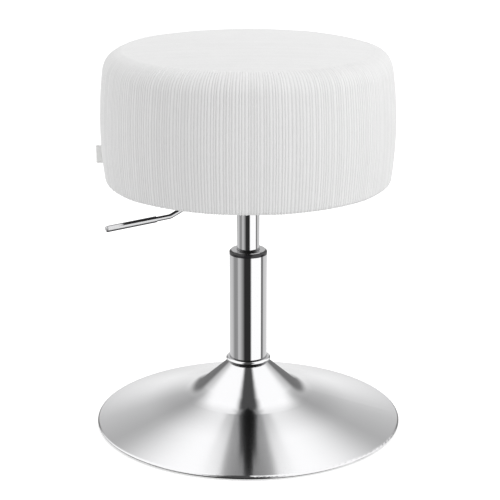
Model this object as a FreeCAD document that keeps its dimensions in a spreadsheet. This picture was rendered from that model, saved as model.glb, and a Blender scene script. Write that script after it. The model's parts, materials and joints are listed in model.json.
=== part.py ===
import FreeCAD, Part
import math
import os

import Sketcher

# Vanity stool: a drum seat on a gas lift, in a column that stands on a trumpet base.
# Millimetres, +Z up, floor at z = 0, the column's axis on Z. The lever and the seat's
# hardware are drawn along +X and turned to the lever's bearing by their placements.

DRIVING_SIZES = {
    # base shell: a pressed sheet with a wide cone, a steeper neck and a rolled rim
    "base_radius": 192.5,
    "shell_wall": 1.5,
    "cone_slope": 16.2,
    "rim_inner_round": 1.1,
    "rim_lip": 0.4,
    "neck_height": 79.2,
    "neck_slope": 41.4,
    "neck_bend": 60.0,
    "neck_gap": 0.4,
    # floor ring under the rim
    "floor_pad": 3.2,
    "floor_ring_inset": 5.0,
    "floor_ring_width": 6.5,
    "floor_ring_rise": 0.9,
    "floor_ring_bevel": 1.4,
    # plate, hub and weight inside the base
    "base_plate_top": 7.7,
    "base_plate_wall": 2.0,
    "base_plate_ledge": 3.0,
    "base_plate_gap": 0.3,
    "base_hub_length": 47.3,
    "base_hub_wall": 5.0,
    "weight_wall": 8.0,
    "weight_bore": 60.0,
    "weight_gap": 0.8,
    "weight_screw_count": 3,
    "weight_screw_radius": 3.0,
    "weight_screw_bite": 6.0,
    "weight_screw_head_radius": 5.5,
    "weight_screw_head": 2.5,
    # outer column
    "column_radius": 23.5,
    "column_wall": 2.5,
    "column_top": 221.0,
    "column_taper": 0.9,
    "collar_rise": 4.8,
    "collar_round": 2.2,
    "collar_cap_wall": 0.8,
    "collar_overhang": 0.1,
    "collar_gap": 0.4,
    "trim_rise": 5.8,
    "trim_width": 4.4,
    "bush_length": 72.0,
    "end_plate_rise": 6.3,
    "end_plate_wall": 4.0,
    # thrust bearing and the parts on the piston rod
    "race_wall": 1.5,
    "race_margin": 2.3,
    "ball_radius": 2.0,
    "ball_reach": 8.7,
    "ball_count": 9,
    "ball_play": 0.05,
    "cage_wall": 1.6,
    "cage_margin": 0.5,
    "rod_radius": 5.0,
    "rod_length": 174.9,
    "rod_tail_radius": 4.0,
    "rod_tip": 2.0,
    "rod_groove_depth": 0.8,
    "rod_neck_radius": 3.5,
    "clip_wall": 1.2,
    "clip_width": 3.2,
    "clip_arc": 290.0,
    "rod_washer_wall": 1.0,
    "rod_washer_width": 4.0,
    "bump_stop_length": 29.0,
    "bump_stop_width": 6.0,
    # gas lift
    "cylinder_radius": 14.0,
    "cylinder_wall": 1.6,
    "cylinder_length": 198.5,
    "cylinder_taper": 0.6,
    "cylinder_end_wall": 3.0,
    "crimp_lip": 3.0,
    "crimp_width": 3.4,
    "guide_length": 20.0,
    "rod_seal_length": 5.0,
    "rod_seal_width": 3.8,
    "tube_gap": 1.2,
    "tube_wall": 1.0,
    "valve_length": 25.5,
    "valve_seal_section": 0.9,
    "valve_seal_height": 14.0,
    "piston_length": 14.0,
    "piston_seal_section": 1.4,
    "piston_nut_flats": 10.0,
    "piston_nut_length": 5.0,
    "piston_thread_end": 2.0,
    "pin_radius": 2.5,
    "pin_length": 23.0,
    "pin_head_radius": 4.0,
    "pin_head": 3.0,
    "pin_head_round": 1.5,
    "pin_stroke": 4.4,
    "pin_hole_gap": 0.5,
    # seat plate, channel, hub and fasteners
    "hub_overhang": 1.5,
    "hub_length": 20.0,
    "hub_wall": 4.0,
    "channel_depth": 27.1,
    "channel_wall": 2.5,
    "channel_side_gap": 1.9,
    "channel_back": 30.0,
    "channel_front_edge": 10.0,
    "seat_plate_half": 75.0,
    "seat_plate_corner": 12.0,
    "seat_plate_wall": 2.5,
    "bolt_offset": 60.0,
    "bolt_radius": 3.0,
    "bolt_flats": 10.0,
    "bolt_head": 4.0,
    "bolt_end_gap": 2.2,
    "washer_wall": 1.5,
    "washer_radius": 7.0,
    "tee_barrel_radius": 4.0,
    "tee_barrel": 9.0,
    "tee_flange_radius": 9.5,
    "tee_flange_wall": 1.5,
    # lever
    "lever_bearing": 210.0,
    "lever_radius": 3.0,
    "lever_hang": 5.9,
    "lever_overlap": 2.0,
    "lever_slope": 22.5,
    "lever_drop": 25.4,
    "lever_pivot_run": 11.95,
    "lever_bend": 12.0,
    "handle_slope": 2.6,
    "handle_length": 85.4,
    "grip_length": 66.0,
    "grip_radius": 3.9,
    "grip_end": 1.5,
    "pivot_reach": 35.0,
    "pivot_pin_radius": 2.0,
    "pivot_tube_wall": 1.4,
    "pivot_head_radius": 3.6,
    "pivot_head": 1.8,
    "pivot_clip_wall": 1.2,
    "pivot_clip_width": 1.8,
    "pivot_pin_tail": 2.0,
    "lever_play": 0.3,
    # seat board and upholstery
    "seat_bottom": 317.0,
    "seat_radius": 180.0,
    "side_arc": 506.0,
    "side_belly_rise": 70.0,
    "side_top_angle": 7.6,
    "edge_round": 28.0,
    "crown_angle": 85.1,
    "under_round": 6.5,
    "cover_wall": 1.2,
    "cover_flap": 19.5,
    "seam_gap": 0.2,
    "foam_gap": 0.3,
    "foam_skirt": 4.0,
    "board_inset": 5.3,
    "board_wall": 15.0,
    "dust_wall": 0.6,
    "dust_inset": 8.5,
    "dust_step": 1.2,
    "staple_count": 24,
    "staple_inset": 13.5,
    "staple_crown": 10.0,
    "staple_wire": 0.8,
    "staple_leg": 8.0,
    "tag_bearing": 180.0,
    "tag_lift": 20.0,
    "tag_rise": 22.0,
    "tag_reach": 6.0,
    "tag_wall": 1.2,
    # clearances
    "running_gap": 0.08,
    "seat_gap": 0.1,
    "tail_gap": 0.3,
}

doc = FreeCAD.newDocument("vanity_stool")
sheet = doc.addObject("Spreadsheet::Sheet", "sizes")
for row, (alias, number) in enumerate(DRIVING_SIZES.items(), start=1):
    sheet.set(f"A{row}", alias)
    sheet.set(f"B{row}", str(number))
    sheet.setAlias(f"B{row}", alias)
doc.recompute()

sub_parts = []


# Sizes that carry both their value and the sheet formula they come from

class Size:
    def __init__(self, value, formula):
        self.value = value
        self.formula = formula

    def __add__(self, other):
        return Size(self.value + value_of(other), f"({self.formula} + {formula_of(other)})")

    def __radd__(self, other):
        return Size(value_of(other) + self.value, f"({formula_of(other)} + {self.formula})")

    def __sub__(self, other):
        return Size(self.value - value_of(other), f"({self.formula} - {formula_of(other)})")

    def __rsub__(self, other):
        return Size(value_of(other) - self.value, f"({formula_of(other)} - {self.formula})")

    def __mul__(self, other):
        return Size(self.value * value_of(other), f"({self.formula} * {formula_of(other)})")

    def __rmul__(self, other):
        return Size(value_of(other) * self.value, f"({formula_of(other)} * {self.formula})")

    def __truediv__(self, other):
        return Size(self.value / value_of(other), f"({self.formula} / {formula_of(other)})")

    def __neg__(self):
        return Size(-self.value, f"(0 - {self.formula})")


class SheetSizes:
    def __getattr__(self, alias):
        return Size(float(sheet.get(alias)), f"sizes.{alias}")


def value_of(size):
    return size.value if isinstance(size, Size) else size


def formula_of(size):
    return size.formula if isinstance(size, Size) else repr(size)


def sine(angle):
    return Size(math.sin(math.radians(angle.value)), f"sin({angle.formula})")


def cosine(angle):
    return Size(math.cos(math.radians(angle.value)), f"cos({angle.formula})")


def tangent(angle):
    return Size(math.tan(math.radians(angle.value)), f"tan({angle.formula})")


def root(size):
    return Size(math.sqrt(size.value), f"sqrt({size.formula})")


d = SheetSizes()


# Drawing helpers

def bind(feature, name, size):
    feature.setExpression(name, formula_of(size))


def origin_feature(body, role):
    return next(feature for feature in body.Origin.OriginFeatures if feature.Role == role)


def new_body(label, bearing=None):
    body = doc.addObject("PartDesign::Body", label)
    body.Label = label
    body.AllowCompound = True
    if bearing is not None:
        turned = FreeCAD.Rotation(FreeCAD.Vector(0, 0, 1), bearing.value)
        body.Placement = FreeCAD.Placement(FreeCAD.Vector(), turned)
        bind(body, "Placement.Rotation.Angle", bearing)
    sub_parts.append(body)
    return body


def new_sketch(body, name, role, offset=(0, 0, 0)):
    sketch = body.newObject("Sketcher::SketchObject", name)
    sketch.AttachmentSupport = [(origin_feature(body, role), "")]
    sketch.MapMode = "FlatFace"
    start = FreeCAD.Vector(*[value_of(size) for size in offset])
    sketch.AttachmentOffset = FreeCAD.Placement(start, FreeCAD.Rotation())
    for axis, size in zip("xyz", offset):
        if isinstance(size, Size):
            bind(sketch, f"AttachmentOffset.Base.{axis}", size)
    return sketch


def hold(sketch, kind, curve, end, size):
    """Keep one end of a curve at a signed distance from the sketch's origin."""
    if value_of(size) == 0:
        axis = -2 if kind == "DistanceX" else -1
        sketch.addConstraint(Sketcher.Constraint("PointOnObject", curve, end, axis))
        return
    if value_of(size) > 0:
        number = sketch.addConstraint(Sketcher.Constraint(kind, -1, 1, curve, end, value_of(size)))
    else:
        size = -size
        number = sketch.addConstraint(Sketcher.Constraint(kind, curve, end, -1, 1, value_of(size)))
    if isinstance(size, Size):
        bind(sketch, f"Constraints[{number}]", size)


def arc_between(start, finish, radius):
    """An arc under a half circle; a positive radius turns left, a negative one right."""
    chord = finish - start
    rise = math.sqrt(radius * radius - chord.Length ** 2 / 4)
    left = FreeCAD.Vector(-chord.y, chord.x, 0).normalize()
    centre = (start + finish) * 0.5 + left * math.copysign(rise, radius)
    circle = Part.Circle(centre, FreeCAD.Vector(0, 0, 1), abs(radius))
    first, last = (start, finish) if radius > 0 else (finish, start)
    angles = [math.atan2(point.y - centre.y, point.x - centre.x) for point in (first, last)]
    return Part.ArcOfCircle(circle, *angles)


def draw_outline(sketch, corners, closed=True):
    """Lines and arcs from corner to corner. A third entry is the radius of the arc that leaves it."""
    points = [FreeCAD.Vector(value_of(corner[0]), value_of(corner[1]), 0) for corner in corners]
    runs = len(corners) if closed else len(corners) - 1
    ends = []
    for run in range(runs):
        finish = points[(run + 1) % len(points)]
        radius = corners[run][2] if len(corners[run]) == 3 else None
        if radius is None:
            sketch.addGeometry(Part.LineSegment(points[run], finish))
        else:
            sketch.addGeometry(arc_between(points[run], finish, value_of(radius)))
        ends.append((2, 1) if radius is not None and value_of(radius) < 0 else (1, 2))
    for run in range(runs):
        following = (run + 1) % len(corners)
        if following < runs:
            joint = Sketcher.Constraint("Coincident", run, ends[run][1], following, ends[following][0])
            sketch.addConstraint(joint)
        hold(sketch, "DistanceX", run, ends[run][0], corners[run][0])
        hold(sketch, "DistanceY", run, ends[run][0], corners[run][1])
        if len(corners[run]) == 3:
            radius = corners[run][2]
            radius = radius if value_of(radius) > 0 else -radius
            number = sketch.addConstraint(Sketcher.Constraint("Radius", run, radius.value))
            bind(sketch, f"Constraints[{number}]", radius)
    if not closed:
        hold(sketch, "DistanceX", runs - 1, ends[-1][1], corners[-1][0])
        hold(sketch, "DistanceY", runs - 1, ends[-1][1], corners[-1][1])


def draw_circle(sketch, across, up, radius):
    centre = FreeCAD.Vector(value_of(across), value_of(up), 0)
    curve = sketch.addGeometry(Part.Circle(centre, FreeCAD.Vector(0, 0, 1), radius.value))
    hold(sketch, "DistanceX", curve, 3, across)
    hold(sketch, "DistanceY", curve, 3, up)
    number = sketch.addConstraint(Sketcher.Constraint("Radius", curve, radius.value))
    bind(sketch, f"Constraints[{number}]", radius)


def turn(body, name, sketch, axis="V_Axis", angle=360.0):
    feature = body.newObject("PartDesign::Revolution", name)
    feature.Profile = sketch
    feature.ReferenceAxis = (sketch, [axis])
    feature.Angle = value_of(angle)
    if isinstance(angle, Size):
        bind(feature, "Angle", angle)
    body.Tip = feature
    return feature


def pad(body, name, sketch, length):
    feature = body.newObject("PartDesign::Pad", name)
    feature.Profile = sketch
    bind(feature, "Length", length)
    body.Tip = feature
    return feature


def cut(body, name, sketch, length=None, reverse=True):
    """Remove the sketch's outline along +Z of its body, or through all of it without a length."""
    feature = body.newObject("PartDesign::Pocket", name)
    feature.Profile = sketch
    feature.Reversed = reverse
    if length is None:
        feature.Type = "ThroughAll"
    else:
        bind(feature, "Length", length)
    body.Tip = feature
    return feature


def repeat(body, name, features, count):
    pattern = body.newObject("PartDesign::PolarPattern", name)
    pattern.Originals = features
    pattern.Axis = (origin_feature(body, "Z_Axis"), [""])
    pattern.Angle = 360.0
    bind(pattern, "Occurrences", count)
    body.Tip = pattern
    return pattern


def turned_part(label, corners, bearing=None):
    body = new_body(label, bearing)
    sketch = new_sketch(body, f"{label}_profile", "XZ_Plane")
    draw_outline(sketch, corners)
    turn(body, f"{label}_turn", sketch)
    return body


def ring_part(label, inner, outer, bottom, top):
    return turned_part(label, [(inner, bottom), (outer, bottom), (outer, top), (inner, top)])


def hole_ring(body, name, across, along, radius, bottom, count, depth=None):
    sketch = new_sketch(body, f"{name}_outline", "XY_Plane", (0, 0, bottom))
    draw_circle(sketch, across, along, radius)
    hole = cut(body, name, sketch, depth)
    doc.recompute()
    return repeat(body, f"{name}_ring", [hole], count)


def hexagon(flats):
    half = flats / 2
    corner = half * 2 / math.sqrt(3)
    side = corner / 2
    return [(corner, 0), (side, half), (-side, half), (-corner, 0), (-side, -half), (side, -half)]


# Levels and radii that several pieces share, from the seat down to the column's foot

board_bottom = d.seat_bottom + d.cover_wall
board_top = board_bottom + d.board_wall
seat_plate_top = board_bottom - d.dust_wall
seat_plate_bottom = seat_plate_top - d.seat_plate_wall
lever_height = seat_plate_bottom - d.lever_hang
lever_underside = lever_height - d.lever_radius
pin_head_top = lever_underside - d.lever_play
pin_head_bottom = pin_head_top - d.pin_head
cylinder_top = pin_head_bottom - d.pin_stroke
cylinder_foot = cylinder_top - d.cylinder_length
cylinder_bore = d.cylinder_radius - d.cylinder_wall
hub_top = cylinder_top + d.hub_overhang
hub_bottom = hub_top - d.hub_length
column_bore = d.column_radius - d.column_wall
tube_bore = cylinder_bore - d.tube_gap - d.tube_wall


# Base shell and what hangs on its outline

cone_sine = sine(d.cone_slope)
cone_cosine = cosine(d.cone_slope)
rim_inside = d.base_radius - d.shell_wall
rim_outer_round = d.rim_inner_round + d.shell_wall
rim_centre = d.base_radius - rim_outer_round
rim_height = d.floor_pad + d.rim_lip
neck_inside = d.column_radius + d.neck_gap
neck_sine = sine(d.neck_slope)
neck_cosine = cosine(d.neck_slope)
neck_top = d.neck_height + d.shell_wall * neck_cosine


def cone_foot(rim_round):
    """Where the straight cone runs into the rim's round, inside or outside the sheet."""
    return rim_centre + rim_round * cone_sine, rim_height + rim_round * cone_cosine


cone_foot_inside = cone_foot(d.rim_inner_round)


def neck_foot_inside():
    """Where the neck's straight slope would meet the cone, under the sheet."""
    neck_grade = tangent(d.neck_slope)
    cone_grade = tangent(d.cone_slope)
    drop = d.neck_height + neck_inside * neck_grade
    drop = drop - cone_foot_inside[1] - cone_foot_inside[0] * cone_grade
    reach = drop / (neck_grade - cone_grade)
    return reach, d.neck_height - (reach - neck_inside) * neck_grade


def under_cone_reach(height):
    """How far out a level piece of this height can go under the cone."""
    return cone_foot_inside[0] - (height - cone_foot_inside[1]) / tangent(d.cone_slope)


def make_base_shell():
    foot = neck_foot_inside()
    setback = d.neck_bend * tangent((d.neck_slope - d.cone_slope) / 2)
    bend_start = (foot[0] - setback * neck_cosine, foot[1] + setback * neck_sine)
    bend_end = (foot[0] + setback * cone_cosine, foot[1] - setback * cone_sine)
    neck_across = d.shell_wall * neck_sine
    neck_up = d.shell_wall * neck_cosine
    cone_across = d.shell_wall * cone_sine
    cone_up = d.shell_wall * cone_cosine
    turned_part("base_shell", [
        (neck_inside, d.neck_height),
        (*bend_start, d.neck_bend),
        bend_end,
        (*cone_foot_inside, -d.rim_inner_round),
        (rim_inside, rim_height),
        (rim_inside, d.floor_pad),
        (d.base_radius, d.floor_pad),
        (d.base_radius, rim_height, rim_outer_round),
        cone_foot(rim_outer_round),
        (bend_end[0] + cone_across, bend_end[1] + cone_up, -(d.neck_bend - d.shell_wall)),
        (bend_start[0] + neck_across, bend_start[1] + neck_up),
        (neck_inside + neck_across, neck_top),
    ])


def make_floor_ring():
    """A foot set back under the rim, with a bevelled flange that fits inside it."""
    outer = d.base_radius - d.floor_ring_inset
    inner = outer - d.floor_ring_width
    flange = rim_inside - d.seat_gap
    top = rim_height + d.floor_ring_rise
    turned_part("floor_ring", [
        (inner, 0),
        (outer, 0),
        (outer, d.floor_pad),
        (flange, d.floor_pad),
        (flange, rim_height),
        (flange - d.floor_ring_bevel, top),
        (inner, top),
    ])


# Plate, hub and weight inside the base

base_plate_bottom = d.base_plate_top - d.base_plate_wall
base_hub_top = d.base_plate_top + d.base_hub_length
weight_top = d.base_plate_top + d.weight_wall
weight_outer = under_cone_reach(weight_top + d.weight_gap)
weight_screw_reach = (d.weight_bore + weight_outer) / 2


def make_base_plate():
    outer = under_cone_reach(d.base_plate_top + d.base_plate_gap)
    inner = column_bore - d.base_plate_ledge
    plate = ring_part("base_plate", inner, outer, base_plate_bottom, d.base_plate_top)
    hole = d.weight_screw_radius + d.seat_gap
    hole_ring(plate, "base_plate_hole", weight_screw_reach, 0, hole, 0, d.weight_screw_count)


def make_base_hub():
    foot = d.column_radius - d.column_taper + d.seat_gap
    head = d.column_radius + d.seat_gap
    outer = head + d.base_hub_wall
    turned_part("base_hub", [
        (foot, d.base_plate_top),
        (outer, d.base_plate_top),
        (outer, base_hub_top),
        (head, base_hub_top),
    ])


def make_base_weight():
    weight = ring_part("base_weight", d.weight_bore, weight_outer, d.base_plate_top, weight_top)
    hole = d.weight_screw_radius + d.seat_gap
    depth = d.weight_screw_bite + d.seat_gap
    start = d.base_plate_top
    hole_ring(weight, "base_weight_hole", weight_screw_reach, 0, hole, start, d.weight_screw_count, depth)


def make_weight_screws():
    screws = new_body("weight_screws")
    sketch = new_sketch(screws, "weight_screw_profile", "XZ_Plane", (weight_screw_reach, 0, 0))
    head_bottom = base_plate_bottom - d.weight_screw_head
    end = d.base_plate_top + d.weight_screw_bite
    draw_outline(sketch, [
        (0, head_bottom),
        (d.weight_screw_head_radius, head_bottom),
        (d.weight_screw_head_radius, base_plate_bottom),
        (d.weight_screw_radius, base_plate_bottom),
        (d.weight_screw_radius, end),
        (0, end),
    ])
    screw = turn(screws, "weight_screw", sketch)
    doc.recompute()
    repeat(screws, "weight_screw_ring", [screw], d.weight_screw_count)


# Outer column

def make_column_tube():
    turned_part("column_tube", [
        (column_bore, d.base_plate_top),
        (d.column_radius - d.column_taper, d.base_plate_top),
        (d.column_radius, base_hub_top),
        (d.column_radius, d.column_top),
        (column_bore, d.column_top),
    ])


collar_inner = d.cylinder_radius + d.collar_gap
collar_outer = d.column_radius + d.collar_overhang
collar_top = d.column_top + d.collar_rise
collar_flat = collar_outer - d.collar_round


def make_column_collar():
    turned_part("column_collar", [
        (collar_inner, d.column_top),
        (collar_outer, d.column_top),
        (collar_outer, collar_top - d.collar_round, d.collar_round),
        (collar_flat, collar_top),
        (collar_inner, collar_top),
    ])


def make_collar_cap():
    """The bright ring on the collar's flat top."""
    ring_part("collar_cap", collar_inner, collar_flat, collar_top, collar_top + d.collar_cap_wall)


def make_trim_ring():
    inner = d.column_radius + d.seat_gap
    half = d.trim_rise / 2
    straight = inner + d.trim_width - half
    turned_part("trim_ring", [
        (inner, neck_top),
        (straight, neck_top, half),
        (straight + half, neck_top + half, half),
        (straight, neck_top + d.trim_rise),
        (inner, neck_top + d.trim_rise),
    ])


def make_column_bush():
    inner = d.cylinder_radius + d.running_gap
    outer = column_bore - d.seat_gap
    ring_part("column_bush", inner, outer, d.column_top - d.bush_length, d.column_top)


# Thrust bearing in the column's foot, stacked upwards from the end plate

end_plate_bottom = d.base_plate_top + d.end_plate_rise
end_plate_top = end_plate_bottom + d.end_plate_wall
lower_race_top = end_plate_top + d.race_wall
ball_height = lower_race_top + d.ball_play + d.ball_radius
upper_race_bottom = ball_height + d.ball_radius + d.ball_play
upper_race_top = upper_race_bottom + d.race_wall
race_radius = d.ball_reach + d.ball_radius + d.race_margin
tail_hole = d.rod_tail_radius + d.tail_gap


def make_tube_end_plate():
    ring_part("tube_end_plate", tail_hole, column_bore - d.seat_gap, end_plate_bottom, end_plate_top)


def make_bearing_races():
    ring_part("bearing_lower_race", tail_hole, race_radius, end_plate_top, lower_race_top)
    inner = d.rod_tail_radius + d.seat_gap
    ring_part("bearing_upper_race", inner, race_radius, upper_race_bottom, upper_race_top)


def make_bearing_balls():
    balls = new_body("bearing_balls")
    sketch = new_sketch(balls, "bearing_ball_profile", "XZ_Plane", (d.ball_reach, 0, 0))
    draw_outline(sketch, [
        (0, ball_height - d.ball_radius, d.ball_radius),
        (d.ball_radius, ball_height, d.ball_radius),
        (0, ball_height + d.ball_radius),
    ])
    ball = turn(balls, "bearing_ball", sketch)
    doc.recompute()
    repeat(balls, "bearing_ball_ring", [ball], d.ball_count)


def make_bearing_cage():
    hole = d.ball_radius + d.seat_gap
    inner = d.ball_reach - hole - d.cage_margin
    outer = d.ball_reach + hole + d.cage_margin
    half = d.cage_wall / 2
    cage = ring_part("bearing_cage", inner, outer, ball_height - half, ball_height + half)
    hole_ring(cage, "bearing_cage_hole", d.ball_reach, 0, hole, 0, d.ball_count)


# Piston rod and what it carries

rod_washer_top = end_plate_bottom - d.seat_gap
rod_washer_bottom = rod_washer_top - d.rod_washer_wall
clip_bottom = rod_washer_bottom - d.clip_wall
groove_radius = d.rod_tail_radius - d.rod_groove_depth
piston_bottom = upper_race_top + d.rod_length
piston_top = piston_bottom + d.piston_length
piston_nut_top = piston_top + d.piston_nut_length
piston_radius = tube_bore - d.running_gap
piston_seal_reach = tube_bore - d.seat_gap - d.piston_seal_section
piston_seal_height = piston_bottom + d.piston_length / 2


def make_piston_rod():
    foot = clip_bottom - d.rod_tip
    top = piston_nut_top + d.piston_thread_end
    turned_part("piston_rod", [
        (0, foot),
        (d.rod_tail_radius, foot),
        (d.rod_tail_radius, clip_bottom - d.seat_gap),
        (groove_radius, clip_bottom - d.seat_gap),
        (groove_radius, rod_washer_bottom),
        (d.rod_tail_radius, rod_washer_bottom),
        (d.rod_tail_radius, upper_race_top),
        (d.rod_radius, upper_race_top),
        (d.rod_radius, piston_bottom),
        (d.rod_neck_radius, piston_bottom),
        (d.rod_neck_radius, top),
        (0, top),
    ])


def make_rod_clip():
    clip = new_body("rod_clip")
    sketch = new_sketch(clip, "rod_clip_profile", "XZ_Plane")
    inner = groove_radius + d.seat_gap
    outer = inner + d.clip_width
    draw_outline(sketch, [
        (inner, clip_bottom),
        (outer, clip_bottom),
        (outer, rod_washer_bottom),
        (inner, rod_washer_bottom),
    ])
    turn(clip, "rod_clip_turn", sketch, angle=d.clip_arc)


def make_rod_washer():
    inner = d.rod_tail_radius + d.seat_gap
    ring_part("rod_washer", inner, inner + d.rod_washer_width, rod_washer_bottom, rod_washer_top)


def make_bump_stop():
    inner = d.rod_radius + d.seat_gap
    top = upper_race_top + d.bump_stop_length
    ring_part("bump_stop", inner, inner + d.bump_stop_width, upper_race_top, top)


def make_piston():
    inner = d.rod_neck_radius + d.seat_gap
    groove = piston_seal_reach - d.piston_seal_section - d.seat_gap
    groove_half = d.piston_seal_section + d.seat_gap
    turned_part("piston", [
        (inner, piston_bottom),
        (piston_radius, piston_bottom),
        (piston_radius, piston_seal_height - groove_half),
        (groove, piston_seal_height - groove_half),
        (groove, piston_seal_height + groove_half),
        (piston_radius, piston_seal_height + groove_half),
        (piston_radius, piston_top),
        (inner, piston_top),
    ])


def make_seal(label, reach, height, section):
    seal = new_body(label)
    sketch = new_sketch(seal, f"{label}_profile", "XZ_Plane")
    draw_circle(sketch, reach, height, section)
    turn(seal, f"{label}_turn", sketch)


def make_piston_nut():
    nut = new_body("piston_nut")
    sketch = new_sketch(nut, "piston_nut_outline", "XY_Plane", (0, 0, piston_top))
    draw_outline(sketch, hexagon(d.piston_nut_flats))
    pad(nut, "piston_nut_pad", sketch, d.piston_nut_length)
    bore = new_sketch(nut, "piston_nut_bore_outline", "XY_Plane", (0, 0, piston_top))
    draw_circle(bore, 0, 0, d.rod_neck_radius + d.seat_gap)
    doc.recompute()
    cut(nut, "piston_nut_bore", bore)


# Gas lift cylinder, stacked upwards from its crimped foot

guide_bottom = cylinder_foot + d.crimp_lip
guide_top = guide_bottom + d.guide_length
cylinder_roof = cylinder_top - d.cylinder_end_wall
valve_bottom = cylinder_roof - d.valve_length
valve_seal_reach = d.pin_radius + d.tail_gap + d.valve_seal_section
valve_seal_height = valve_bottom + d.valve_seal_height


def make_lift_cylinder():
    lip = cylinder_bore - d.crimp_width
    hole = d.pin_radius + d.pin_hole_gap
    turned_part("lift_cylinder", [
        (lip, cylinder_foot),
        (d.cylinder_radius, cylinder_foot),
        (d.cylinder_radius, hub_bottom),
        (d.cylinder_radius - d.cylinder_taper, cylinder_top),
        (hole, cylinder_top),
        (hole, cylinder_roof),
        (cylinder_bore, cylinder_roof),
        (cylinder_bore, guide_bottom),
        (lip, guide_bottom),
    ])


def make_rod_guide_and_seal():
    inner = d.rod_radius + d.running_gap
    outer = cylinder_bore - d.seat_gap
    recess = inner + d.rod_seal_width
    seal_bottom = guide_top - d.rod_seal_length
    turned_part("rod_guide", [
        (inner, guide_bottom),
        (outer, guide_bottom),
        (outer, guide_top),
        (recess, guide_top),
        (recess, seal_bottom),
        (inner, seal_bottom),
    ])
    ring_part("rod_seal", inner, recess - d.seat_gap, seal_bottom, guide_top)


def make_inner_tube():
    ring_part("inner_tube", tube_bore, tube_bore + d.tube_wall, guide_top, valve_bottom)


def make_valve_body():
    inner = d.pin_radius + d.running_gap
    outer = cylinder_bore - d.seat_gap
    groove = valve_seal_reach + d.valve_seal_section + d.seat_gap
    groove_half = d.valve_seal_section + d.seat_gap
    turned_part("valve_body", [
        (inner, valve_bottom),
        (outer, valve_bottom),
        (outer, cylinder_roof),
        (inner, cylinder_roof),
        (inner, valve_seal_height + groove_half),
        (groove, valve_seal_height + groove_half),
        (groove, valve_seal_height - groove_half),
        (inner, valve_seal_height - groove_half),
    ])


def make_release_pin():
    foot = pin_head_bottom - d.pin_length
    turned_part("release_pin", [
        (0, foot),
        (d.pin_radius, foot),
        (d.pin_radius, pin_head_bottom),
        (d.pin_head_radius, pin_head_bottom),
        (d.pin_head_radius, pin_head_top - d.pin_head_round, d.pin_head_round),
        (d.pin_head_radius - d.pin_head_round, pin_head_top),
        (0, pin_head_top),
    ])


# Seat plate, channel and hub

pivot_tube_bore = d.pivot_pin_radius + d.running_gap
pivot_tube_radius = pivot_tube_bore + d.pivot_tube_wall
pivot_height = lever_underside - pivot_tube_radius
hub_bore_radius = d.cylinder_radius + d.seat_gap
hub_radius = hub_bore_radius + d.hub_wall
channel_inside = hub_radius + d.channel_side_gap
channel_outside = channel_inside + d.channel_wall


def make_plate_hub():
    taper = d.cylinder_taper * d.hub_length / (cylinder_top - hub_bottom)
    turned_part("plate_hub", [
        (hub_bore_radius, hub_bottom),
        (hub_radius, hub_bottom),
        (hub_radius, hub_top),
        (hub_bore_radius - taper, hub_top),
    ])


def make_lift_channel():
    channel = new_body("lift_channel", d.lever_bearing)
    web_bottom = seat_plate_bottom - d.channel_depth
    web_top = web_bottom + d.channel_wall
    section = new_sketch(channel, "lift_channel_section", "YZ_Plane", (0, 0, -d.channel_back))
    draw_outline(section, [
        (-channel_outside, web_bottom),
        (channel_outside, web_bottom),
        (channel_outside, seat_plate_bottom),
        (channel_inside, seat_plate_bottom),
        (channel_inside, web_top),
        (-channel_inside, web_top),
        (-channel_inside, seat_plate_bottom),
        (-channel_outside, seat_plate_bottom),
    ])
    front = d.pivot_reach + d.channel_front_edge
    pad(channel, "lift_channel_pad", section, d.channel_back + front)
    hub_hole = new_sketch(channel, "lift_channel_hub_outline", "XY_Plane")
    draw_circle(hub_hole, 0, 0, hub_radius + d.seat_gap)
    doc.recompute()
    cut(channel, "lift_channel_hub_hole", hub_hole)
    pin_hole = new_sketch(channel, "lift_channel_pin_outline", "XZ_Plane", (0, 0, channel_outside * 2))
    draw_circle(pin_hole, d.pivot_reach, pivot_height, d.pivot_pin_radius + d.seat_gap)
    doc.recompute()
    cut(channel, "lift_channel_pin_hole", pin_hole, reverse=False)


def make_seat_plate():
    plate = new_body("seat_plate", d.lever_bearing)
    half = d.seat_plate_half
    inner = half - d.seat_plate_corner
    outline = new_sketch(plate, "seat_plate_outline", "XY_Plane", (0, 0, seat_plate_bottom))
    draw_outline(outline, [
        (-inner, -half),
        (inner, -half, d.seat_plate_corner),
        (half, -inner),
        (half, inner, d.seat_plate_corner),
        (inner, half),
        (-inner, half, d.seat_plate_corner),
        (-half, inner),
        (-half, -inner, d.seat_plate_corner),
    ])
    pad(plate, "seat_plate_pad", outline, d.seat_plate_wall)
    bolt_holes(plate, "seat_plate_hole", d.bolt_radius + d.seat_gap)


# Fasteners between the seat plate and the board, four on a square

def bolt_holes(body, name, radius, bottom=0, depth=None):
    doc.recompute()
    hole_ring(body, name, d.bolt_offset, d.bolt_offset, radius, bottom, 4, depth)


def bolt_pieces(label, corners):
    pieces = new_body(label, d.lever_bearing)
    sketch = new_sketch(pieces, f"{label}_profile", "XZ_Plane", (d.bolt_offset, 0, -d.bolt_offset))
    draw_outline(sketch, corners)
    piece = turn(pieces, f"{label}_turn", sketch)
    doc.recompute()
    repeat(pieces, f"{label}_ring", [piece], 4)


washer_bottom = seat_plate_bottom - d.washer_wall
tee_flange_bottom = board_top - d.tee_flange_wall - d.seat_gap


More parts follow.
